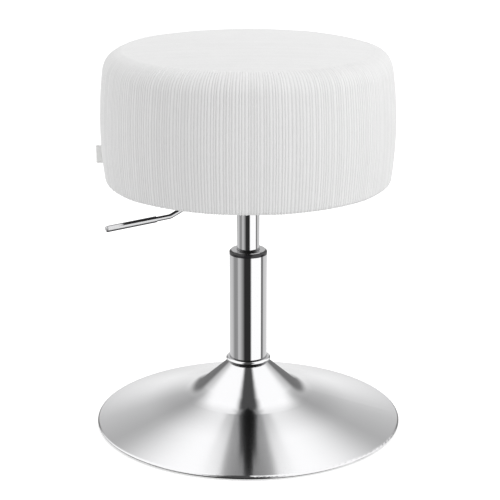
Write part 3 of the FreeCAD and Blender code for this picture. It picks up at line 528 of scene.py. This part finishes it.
def cushion_swell():
    """How far the stuffed cover stands off its mean outline, by length along it and by angle."""
    below_crown = band_outline()[:-(CROWN_POINTS + 1)]
    side = below_crown[::SWELL_ROW_STEP]
    crown = np.array(crown_run(seam_reach, SWELL_START_REACH, SWELL_CROWN_POINTS))
    outline = np.concatenate((side, crown))
    turn = full_turn(SWELL_COLUMNS)
    length = along(outline)
    held_rows = [0, 1, len(side)]
    start = -SLACK + SLACK_UNEVEN * uneven(len(outline), SWELL_COLUMNS)
    start[held_rows] = 0.0
    points = turned(outline, start, turn).reshape(-1, 3)
    faces = grid_faces(len(outline), SWELL_COLUMNS, True)
    held = [row * SWELL_COLUMNS + column for row in held_rows for column in range(SWELL_COLUMNS)]
    rested = blow_out(points, faces, held).reshape(len(outline), SWELL_COLUMNS, 3)
    moved = rested - turned(outline, 0 * start, turn)
    normal = np.radians(outline[:, 2])[:, None]
    outward = moved[:, :, 0] * np.cos(turn) + moved[:, :, 1] * np.sin(turn)
    swell = outward * np.cos(normal) + moved[:, :, 2] * np.sin(normal)
    swell = swell - swell.mean(axis=1, keepdims=True)
    swell = swell * soft_step(outline[:, 0], SWELL_START_REACH, SWELL_FULL_REACH)[:, None]
    return length, turn, np.clip(swell, -SWELL_LIMIT, SWELL_LIMIT)


def read_swell(swell, length, turn):
    """The swell at places given by length along the outline and by angle, eased between its points."""
    lengths, turns, values = swell
    row = np.clip(np.searchsorted(lengths, length) - 1, 0, len(lengths) - 2)
    down = np.clip((length - lengths[row]) / (lengths[row + 1] - lengths[row]), 0, 1)
    place = (turn % (2 * math.pi)) * len(turns) / (2 * math.pi)
    column = np.floor(place).astype(int) % len(turns)
    following = (column + 1) % len(turns)
    share = soft_step(place - np.floor(place), 0, 1)
    low = values[row, column] * (1 - share) + values[row, following] * share
    high = values[row + 1, column] * (1 - share) + values[row + 1, following] * share
    return low + (high - low) * soft_step(down, 0, 1)


def rib_profile(ribs, unevenness):
    """Heights of a row of rounded ribs, no two quite alike, and where each sample lies in it."""
    widths = 1 + unevenness * random.uniform(-1, 1, ribs)
    starts = np.concatenate(([0.0], np.cumsum(widths)))
    heights = 1 + unevenness * random.uniform(-1, 1, ribs)
    inside = np.arange(RIB_STEPS) / RIB_STEPS
    share = 1 - np.abs(2 * inside - 1) ** RIB_ROUNDNESS
    places = (starts[:-1, None] + widths[:, None] * inside).ravel() / starts[-1]
    return places, (heights[:, None] * share).ravel()


def groove_depth(share, distance):
    """How deep the cloth lies below its ridges, pressed flat towards the seam."""
    return RIB_HEIGHT * (1 - share) * soft_step(distance, 0, SEAM_PRESS)


def seam_sink(distance):
    """How far the cloth is drawn in beside a sewn seam."""
    return SEAM_DEPTH * np.exp(-(distance / SEAM_WIDTH) ** 2)


def make_band(swell):
    """The side cover: upright ribs, with its closing seam at the tag."""
    outline = band_outline()
    ribs = round(2 * math.pi * seat_radius / RIB_PITCH)
    places, share = rib_profile(ribs, RIB_UNEVEN)
    turn = 2 * math.pi * places
    length = along(outline)
    seam_length = length[-2]
    from_seam = (seam_length - length)[:, None]
    offset = -groove_depth(share[None, :], from_seam) - seam_sink(from_seam)
    offset = offset - seam_sink(seat_radius * (turn - math.pi))[None, :]
    offset = offset + read_swell(swell, *np.broadcast_arrays(length[:, None], turn[None, :]))
    points = turned(outline, offset, turn).reshape(-1, 3)
    band = new_object("seat_side_cover", points, grid_faces(len(outline), len(turn), True))
    # The painted shade in the grooves fades over the shoulder.
    contrast = 1 - SHOULDER_FADE * soft_step(outline[:, 2], *SHOULDER_ANGLES)[:, None]
    keep_values(band, "groove_shade", share.mean() + contrast * (share - share.mean()))
    return band


def make_top(swell):
    """The top panel: ribs along X on the crown, its edge drawn down beside the seam."""
    ribs = round(2 * seam_reach / RIB_PITCH)
    places, share = rib_profile(ribs, TOP_RIB_UNEVEN)
    across = np.append((2 * places - 1) * seam_reach, seam_reach)
    share = np.append(share, 0.0)
    columns = np.sin(np.linspace(-0.5, 0.5, TOP_COLUMNS) * math.pi)
    half = np.sqrt(np.maximum(seam_reach ** 2 - across ** 2, 0))
    x = half[:, None] * columns[None, :]
    y = np.broadcast_to(across[:, None], x.shape)
    reach = np.hypot(x, y)
    seam_length = along(band_outline())[-2]
    from_seam = seam_reach - reach
    z = crown_height(reach) - TOP_RIB_SHARE * groove_depth(share[:, None], from_seam) - seam_sink(from_seam)
    z = z + read_swell(swell, seam_length + seam_reach - reach, np.arctan2(y, x))
    points = np.stack([x, y, z], axis=-1).reshape(-1, 3)
    top = new_object("seat_top_cover", points, grid_faces(len(across), len(columns), False))
    # The top's ribs carry the same painted shade in their grooves.
    keep_values(top, "groove_shade", np.broadcast_to(share[:, None], x.shape))
    return top


def thicken(piece, wall):
    solidify = piece.modifiers.new("wall", "SOLIDIFY")
    solidify.thickness = wall
    solidify.offset = 0.0


def make_lining():
    """The lining under the seat: flat on the board, stepped down over the flap, loose between staples."""
    low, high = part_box("dust_cover")
    rim = high.x
    flat_height = high.z - LINING_WALL / 2
    rim_height = low.z + LINING_WALL / 2
    step_start = flap_reach - LINING_STEP_RUN
    flat_rows = np.linspace(LINING_CENTRE, step_start - LINING_STEP_RUN, LINING_FLAT_ROWS)
    reach = np.concatenate((flat_rows, np.linspace(step_start, rim, LINING_RIM_ROWS)))
    turn = full_turn(STAPLE_STEPS * LINING_STAPLES)
    stepped = soft_step(reach, step_start, flap_reach)
    slack = soft_step(reach, flap_reach, rim)[:, None] * (1 - np.cos(LINING_STAPLES * turn)) / 2
    height = (flat_height + (rim_height - flat_height) * stepped)[:, None] - LINING_PUCKER * slack
    reach = reach[:, None]
    points = np.stack([reach * np.cos(turn), reach * np.sin(turn), height], axis=-1).reshape(-1, 3)
    faces = grid_faces(len(reach), len(turn), True)
    faces.append(tuple(reversed(range(len(turn)))))
    lining = new_object("seat_lining", points, faces)
    thicken(lining, LINING_WALL)
    return lining, rim


def make_tag():
    """A loop of tape: out along one leaf, round the fold and back along the other."""
    low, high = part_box("side_tag")
    bend = (high.y - low.y - TAPE_WALL) / 2
    leaf = high.x - low.x - bend
    root = [(high.x - leaf * step / TAPE_LEAF_STEPS, bend) for step in range(TAPE_LEAF_STEPS)]
    fold = [(low.x + bend - bend * math.sin(turn), bend * math.cos(turn))
            for turn in np.linspace(0, math.pi, TAPE_FOLD_POINTS)]
    back = [(x, -y) for x, y in reversed(root)]
    path = np.array(root + fold + back)
    rises = np.linspace(low.z, high.z, TAPE_ROWS)
    from_root = soft_step(high.x - path[:, 0], 0, leaf)[None, :]
    curl = TAPE_CURL * np.sin(np.linspace(0, math.pi, TAPE_ROWS))[:, None] * from_root
    x = np.broadcast_to(path[:, 0], curl.shape)
    z = np.broadcast_to(rises[:, None], curl.shape)
    points = np.stack([x, path[:, 1] + curl, z], axis=-1).reshape(-1, 3)
    tag = new_object("seat_tag", points, grid_faces(len(rises), len(path), False))
    thicken(tag, TAPE_WALL)
    return tag, (2 * leaf + math.pi * bend, high.z - low.z)


def dress(piece, slot_name, *nodes):
    piece.data.materials.append(MATERIALS[slot_name])
    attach(piece, "seat")
    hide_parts(*nodes)


def dress_seat():
    swell = cushion_swell()
    band = make_band(swell)
    dress(band, "seat_corduroy", "cover_band", "seat_foam")
    top = make_top(swell)
    dress(top, "seat_corduroy", "cover_top")
    lining, rim = make_lining()
    dress(lining, "dust_cloth", "dust_cover")
    tag, tape = make_tag()
    dress(tag, "tag_tape", "side_tag")


def clear_reflections():
    """The base mirrors the studio and the column, and not the seat and the lever above it."""
    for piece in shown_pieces():
        if body_of(piece)[0] in ("seat", "lever") and piece != frame["nodes"]["lift_cylinder"]:
            piece.visible_glossy = False


# Studio: a white floor, a dome that only shows in reflections, soft lamps and the camera

# Brightness of the dome that the metal mirrors. Below the horizon it goes by the bearing from the
# camera, to the right; behind the object, above the horizon, it goes by the rise.
LOW_LEVELS = [
    (-180, 1.00), (-160, 0.75), (-110, 0.60), (-92, 0.30), (-70, 0.32), (-62, 0.60), (-50, 0.55),
    (-30, 0.20), (-22, 0.03), (13, 0.03), (22, 1.20), (82, 1.20), (88, 0.15), (97, 0.15), (106, 0.65),
    (150, 0.80), (180, 1.00),
]
BACK_LEVELS = [
    (-8, 1.12), (2, 1.05), (8, 0.95), (14, 0.80), (20, 0.65), (26, 0.57), (32, 0.51), (36, 0.58), (40, 0.75),
    (44, 0.95), (48, 1.13), (52, 1.25),
]
# What is mirrored a second time, metal in metal, by the bearing
INNER_LEVELS = [
    (-180, 0.50), (-110, 0.42), (-92, 0.17), (-44, 0.03), (0, 0.012), (50, 0.02), (84, 0.14), (110, 0.42),
    (180, 0.50),
]
HIGH_LEVEL = 1.22
STRIP_LEVEL = 0.08
PILLAR_LEVEL = 0.4
POST_LEVEL = 0.2
LOW_FADE = 0.9

# Where one part of the dome fades into the next, by the rise, the depth or the bearing
HORIZON_RISES = (-8, -1)
LOW_FADE_DEPTHS = (23, 48)
BACK_BEARINGS = (108, 142)

# The pillar on the back wall: half its width and its edge's softness by the rise, the share of that
# softness outside the width, and its two ends
PILLAR_WIDTHS = [(53, 0.125), (56, 0.09), (60, 0.09), (68, 0.17)]
PILLAR_EDGES = [(58, 0.010), (66, 0.06)]
PILLAR_OUTER_EDGE = 0.6
PILLAR_ENDS = (40, 67)
PILLAR_END_EDGE = 7

# The strip overhead: half its width by how far ahead it is, its edge's softness and its far end
STRIP_WIDTHS = [(-0.47, 0.06), (-0.2, 0.14), (0.1, 0.2), (0.3, 0.2), (0.6, 0.45)]
STRIP_EDGE = 0.4
STRIP_END = (-0.54, -0.42)

# The two posts: bearings of their near and far sides, how much they lean, and rises of foot and head
POST_NEAR_SIDE = (130, 145)
POST_FAR_SIDE = (163, 172)
POST_LEAN = 0.65
POST_FOOT = (-16, -10)
POST_HEAD = (15, 31)

DOME_RADIUS = 5.0
DOME_COLUMNS = 360
DOME_ROWS = 181
DOME_END_RISE = 89.9

# The dark ring under the seat
SHADE_LEVEL = 0.03
SHADE_GAP = 0.002
SHADE_RANGE = 0.06
SHADE_OPENING = 0.08
SHADE_COLUMNS = 96

FLOOR_REACH = 6.0
FLOOR_COLOUR = (0.85, 0.85, 0.85, 1.0)
FLOOR_GLOW = 0.6
WORLD_LIGHT = 0.72

# Lamps: name, place, size and power
LAMPS = [
    ("key_lamp", (1.8, -1.0, 1.6), 1.6, 15.0),
    ("top_lamp", (0.3, 0.3, 2.6), 2.0, 6.0),
    ("edge_lamp", (-2.2, 0.9, 0.9), 1.2, 9.0),
]
LAMP_AIM = (0, 0, 0.4)


def between(value, start, end, edge):
    return soft_step(value, start - edge, start + edge) * (1 - soft_step(value, end - edge, end + edge))


def look_up(table, place):
    return np.interp(place, *np.array(table).T)


def mixed(level, other, share):
    return level + share * (other - level)


def pillar_share(across, ahead, rise):
    width = look_up(PILLAR_WIDTHS, rise)
    edge = look_up(PILLAR_EDGES, rise)
    pillar = 1 - soft_step(across, width - edge, width + PILLAR_OUTER_EDGE * edge)
    return pillar * between(rise, *PILLAR_ENDS, PILLAR_END_EDGE) * (ahead < 0)


def strip_share(across, ahead):
    width = look_up(STRIP_WIDTHS, ahead)
    strip = 1 - soft_step(across, (1 - STRIP_EDGE) * width, (1 + STRIP_EDGE) * width)
    return strip * soft_step(ahead, *STRIP_END)


def post_share(aside, rise):
    posts = soft_step(aside, *POST_NEAR_SIDE) * (1 - soft_step(aside + POST_LEAN * rise, *POST_FAR_SIDE))
    return posts * soft_step(rise, *POST_FOOT) * (1 - soft_step(rise, *POST_HEAD))


def dome_level(bearing, rise):
    """White overhead with a dark strip, a greyer back wall with a pillar, and two leaning posts."""
    turn = np.radians(bearing)
    lift = np.radians(rise)
    across = np.abs(np.cos(lift) * np.sin(turn))
    ahead = np.cos(lift) * np.cos(turn)
    aside = np.abs(bearing)
    low = look_up(LOW_LEVELS, bearing) * (1 - LOW_FADE * soft_step(-rise, *LOW_FADE_DEPTHS))
    high = mixed(HIGH_LEVEL, look_up(BACK_LEVELS, rise), soft_step(aside, *BACK_BEARINGS))
    high = mixed(high, PILLAR_LEVEL, pillar_share(across, ahead, rise))
    high = mixed(high, STRIP_LEVEL, strip_share(across, ahead))
    level = mixed(low, high, soft_step(rise, *HORIZON_RISES))
    return mixed(level, POST_LEVEL, post_share(aside, rise))


def dome_material():
    """The dome glows by its level, or by its inner level where it is mirrored a second time."""
    material = bpy.data.materials.new("studio_dome")
    tree, surface = bare_tree(material, "ShaderNodeOutputMaterial")
    path = add_node(tree, "ShaderNodeLightPath")
    level = add_node(tree, "ShaderNodeAttribute", attribute_name="level")
    inner_level = add_node(tree, "ShaderNodeAttribute", attribute_name="inner_level")
    strength = add_node(tree, "ShaderNodeMix", data_type="FLOAT")
    feed(tree, strength.inputs["Factor"], map_range(tree, path.outputs["Glossy Depth"], start=1.0, end=2.0))
    feed(tree, strength.inputs["A"], level.outputs["Fac"])
    feed(tree, strength.inputs["B"], inner_level.outputs["Fac"])
    glow = add_node(tree, "ShaderNodeEmission", Strength=strength.outputs["Result"])
    feed(tree, surface, glow.outputs["Emission"])
    return material


def only_reflected(screen):
    screen.visible_camera = False
    screen.visible_diffuse = False
    screen.visible_transmission = False
    screen.visible_shadow = False


def make_dome():
    bearings = np.linspace(-180, 180, DOME_COLUMNS, endpoint=False)
    rises = np.linspace(-DOME_END_RISE, DOME_END_RISE, DOME_ROWS)
    turn = np.radians(bearings)[None, :]
    rise = np.radians(rises)[:, None]
    points = np.stack([
        DOME_RADIUS * np.cos(rise) * np.sin(turn),
        -DOME_RADIUS * np.cos(rise) * np.cos(turn),
        DOME_RADIUS * np.sin(rise) * np.ones_like(turn),
    ], axis=-1).reshape(-1, 3)
    dome = new_object("studio_dome", points, grid_faces(len(rises), len(bearings), True))
    bearing_grid, rise_grid = np.meshgrid(bearings, rises)
    keep_values(dome, "level", dome_level(bearing_grid, rise_grid))
    keep_values(dome, "inner_level", look_up(INNER_LEVELS, bearing_grid))
    dome.data.materials.append(dome_material())
    only_reflected(dome)


def shade_material():
    """Dark to a reflection from close by, clear to one from farther off."""
    material = bpy.data.materials.new("studio_shade")
    tree, surface = bare_tree(material, "ShaderNodeOutputMaterial")
    path = add_node(tree, "ShaderNodeLightPath")
    dark = add_node(tree, "ShaderNodeEmission", Strength=SHADE_LEVEL)
    clear = add_node(tree, "ShaderNodeBsdfTransparent")
    card = add_node(tree, "ShaderNodeMixShader")
    feed(tree, card.inputs["Fac"], maths(tree, "GREATER_THAN", path.outputs["Ray Length"], SHADE_RANGE))
    feed(tree, card.inputs[1], dark.outputs["Emission"])
    feed(tree, card.inputs[2], clear.outputs["BSDF"])
    feed(tree, surface, card.outputs["Shader"])
    return material


def make_shade():
    """The lining as the lever mirrors it: a dark ring under the seat that only short reflections meet."""
    low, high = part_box("dust_cover")
    height = low.z - SHADE_GAP
    turn = full_turn(SHADE_COLUMNS)
    points = [(reach * math.cos(angle), reach * math.sin(angle), height)
              for reach in (SHADE_OPENING, high.x) for angle in turn]
    shade = new_object("studio_shade", points, grid_faces(2, len(turn), True))
    shade.data.materials.append(shade_material())
    only_reflected(shade)


def make_floor():
    """A pale floor that takes the object's shadow and is lifted to white for the camera."""
    corners = [(-1, -1), (1, -1), (1, 1), (-1, 1)]
    points = [(FLOOR_REACH * x, FLOOR_REACH * y, 0) for x, y in corners]
    floor = new_object("studio_floor", points, [(0, 1, 2, 3)])
    material, tree, shader = new_material("studio_floor")
    shader.inputs["Base Color"].default_value = FLOOR_COLOUR
    shader.inputs["Roughness"].default_value = 1.0
    shader.inputs["Specular IOR Level"].default_value = 0.0
    shader.inputs["Emission Color"].default_value = WHITE
    path = add_node(tree, "ShaderNodeLightPath")
    glow = maths(tree, "MULTIPLY", path.outputs["Is Camera Ray"], FLOOR_GLOW)
    feed(tree, shader.inputs["Emission Strength"], glow)
    floor.data.materials.append(material)
    floor.visible_glossy = False


def make_world():
    """White where it is seen or mirrored, and a little less as light on the object."""
    world = bpy.data.worlds.new("studio")
    scene.world = world
    tree, surface = bare_tree(world, "ShaderNodeOutputWorld")
    path = add_node(tree, "ShaderNodeLightPath")
    shown = maths(tree, "MAXIMUM", path.outputs["Is Camera Ray"], path.outputs["Is Glossy Ray"])
    shown = maths(tree, "MAXIMUM", shown, path.outputs["Is Transmission Ray"])
    strength = map_range(tree, shown, start=0.0, end=1.0, low=WORLD_LIGHT, high=1.0)
    background = add_node(tree, "ShaderNodeBackground", Color=WHITE, Strength=strength)
    feed(tree, surface, background.outputs["Background"])


def add_lamp(name, place, size, power):
    light = bpy.data.lights.new(name, "AREA")
    light.shape = "SQUARE"
    light.size = size
    light.energy = power
    lamp = bpy.data.objects.new(name, light)
    lamp.location = place
    lamp.rotation_mode = "QUATERNION"
    lamp.rotation_quaternion = (Vector(LAMP_AIM) - Vector(place)).to_track_quat("-Z", "Y")
    lamp.visible_glossy = False
    scene.collection.objects.link(lamp)


def make_camera():
    camera = bpy.data.cameras.new("photo_camera")
    camera.sensor_fit = "HORIZONTAL"
    camera.sensor_width = SENSOR_WIDTH
    camera.lens = FOCAL_PIXELS * SENSOR_WIDTH / FRAME_PIXELS
    camera.clip_end = 50.0
    holder = bpy.data.objects.new("photo_camera", camera)
    holder.location = CAMERA_PLACE
    holder.rotation_euler = (math.radians(90 - CAMERA_PITCH), 0, 0)
    scene.collection.objects.link(holder)
    scene.camera = holder


scene.view_settings.view_transform = "Standard"
finish_nodes()
dress_seat()
clear_reflections()
make_dome()
make_shade()
make_floor()
make_world()
for lamp_values in LAMPS:
    add_lamp(*lamp_values)
make_camera()
